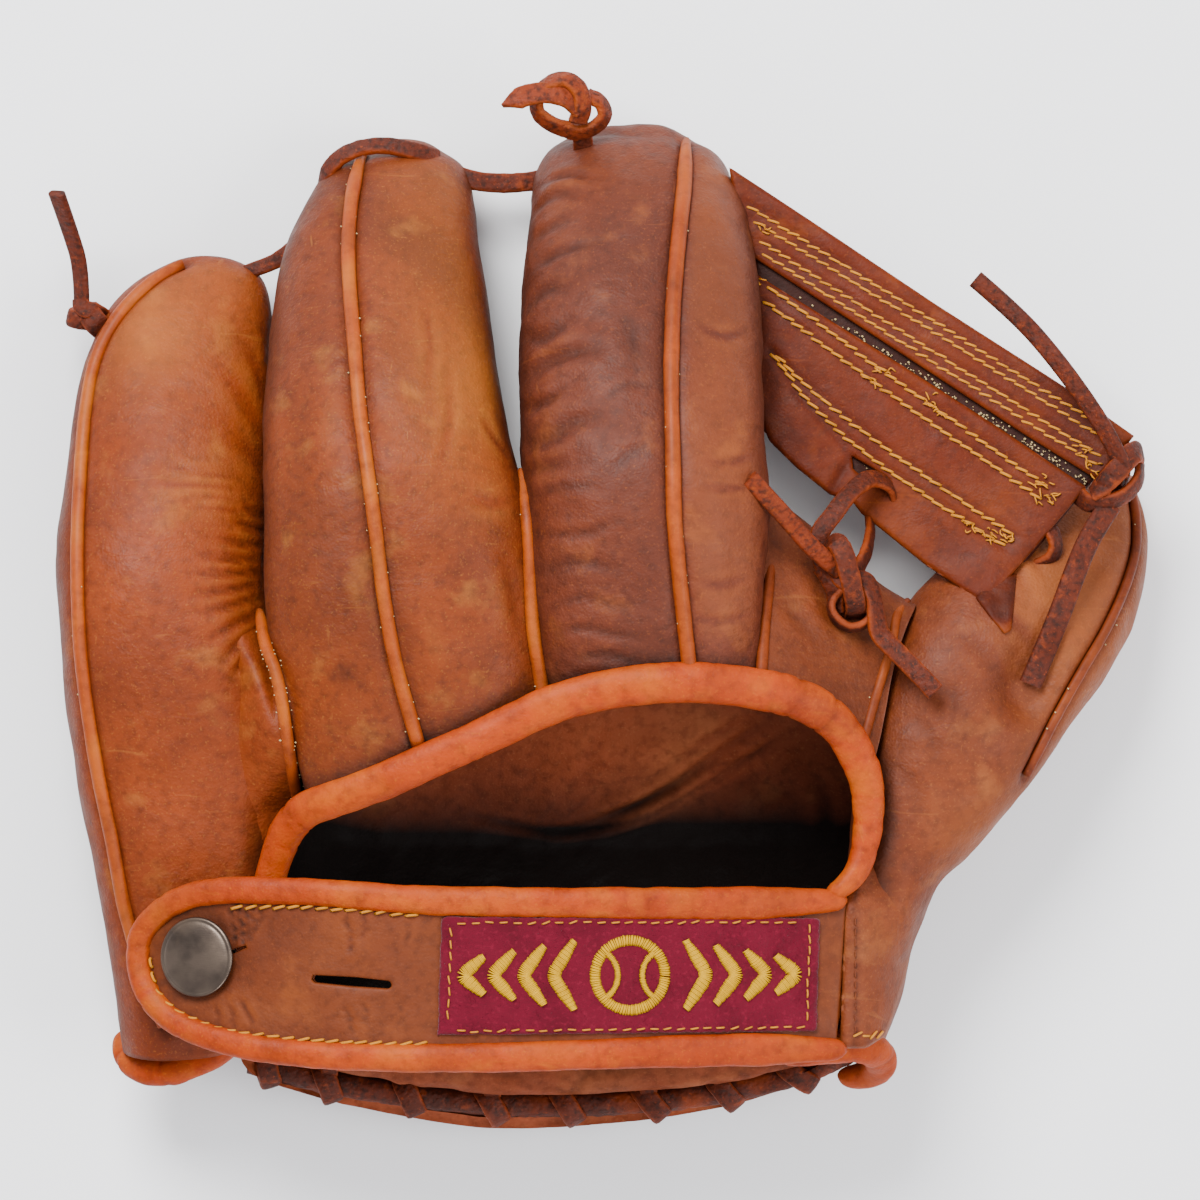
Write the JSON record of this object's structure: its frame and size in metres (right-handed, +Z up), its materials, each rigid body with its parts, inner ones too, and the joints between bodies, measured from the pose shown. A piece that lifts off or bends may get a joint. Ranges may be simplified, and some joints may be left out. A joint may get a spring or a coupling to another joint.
{
  "type": "baseball glove",
  "caption": "Leather fielder's glove for the left hand with finger stalls, a thumb, a stitched web, a laced heel and a buttoned wrist strap, lying palm down.",
  "frame": {"origin": "bottom centre of the box round the glove without its free lace ends, on the surface it lies on", "axes": "+Z up, out of the back of the glove; +Y to the finger tips; +X to the thumb"},
  "size_m": [0.2737, 0.2692, 0.081],
  "materials": {
    "shell_leather": "oiled, soft sheen",
    "dark_leather": "oiled, soft sheen",
    "web_leather": "oiled, soft sheen",
    "strap_leather": "smooth, soft sheen",
    "trim_leather": "smooth, soft sheen",
    "lining_leather": "smooth, worn",
    "lace_leather": "matte rawhide",
    "wool_felt": "matte felt",
    "patch_felt": "matte felt",
    "thread": "satin thread",
    "button_metal": "darkened bronze"
  },
  "bodies": {
    "hand": {"little_finger_shell": "shell_leather", "little_finger_padding": "wool_felt", "little_finger_lining": "lining_leather", "middle_finger_shell": "shell_leather", "middle_finger_padding": "wool_felt", "middle_finger_lining": "lining_leather", "index_finger_shell": "dark_leather", "index_finger_padding": "wool_felt", "index_finger_lining": "lining_leather", "thumb_heel_shell": "web_leather", "thumb_heel_padding": "wool_felt", "palm_leather": "shell_leather", "palm_padding": "wool_felt", "palm_lining": "lining_leather", "crotch_panel": "shell_leather", "crotch_facing": "lining_leather", "little_finger_welt": "trim_leather", "middle_finger_welt": "trim_leather", "index_finger_welt": "trim_leather", "little_middle_welt": "trim_leather", "middle_index_welt": "trim_leather", "index_crotch_welt": "trim_leather", "crotch_thumb_welt": "trim_leather", "wrist_binding": "trim_leather", "heel_binding_left": "trim_leather", "heel_binding_right": "trim_leather", "heel_roll": "trim_leather", "heel_lace": "lace_leather", "strap_anchor": "strap_leather", "button_cap": "button_metal", "button_post": "button_metal", "button_washer": "button_metal", "web_backing": "web_leather", "web_upper_panel": "web_leather", "web_lower_panel": "web_leather", "fingertip_lace": "lace_leather", "index_lace_knot": "lace_leather", "little_lace_knot": "lace_leather", "little_lace_tail": "lace_leather", "web_lace": "lace_leather", "web_lace_knot": "lace_leather", "web_lace_tail": "lace_leather"},
    "thumb": {"thumb_shell": "web_leather", "thumb_padding": "wool_felt", "thumb_lining": "lining_leather", "thumb_welt": "trim_leather", "thumb_lace_knot": "lace_leather", "thumb_lace_tail_long": "lace_leather", "thumb_lace_tail_short": "lace_leather"},
    "wrist_strap": {"strap_leather": "strap_leather", "strap_lining": "lining_leather", "strap_binding": "trim_leather", "felt_patch": "patch_felt", "patch_embroidery": "thread"}
  },
  "joints": [
    {"name": "thumb_close", "type": "hinge", "parent": "hand", "child": "thumb", "pos_m": [0.07626, -0.03508, 0.0213], "axis": [-0.149, 0.9888, 0], "range_deg": [0, 25], "deforming": ["web_backing", "web_upper_panel", "web_lower_panel", "crotch_thumb_welt"]},
    {"name": "strap_swing", "type": "hinge", "parent": "hand", "child": "wrist_strap", "pos_m": [0.06026, -0.09008, 0.0634], "axis": [0, 1, 0], "range_deg": [0, 110], "deforming": ["strap_leather", "strap_lining"]}
  ]
}
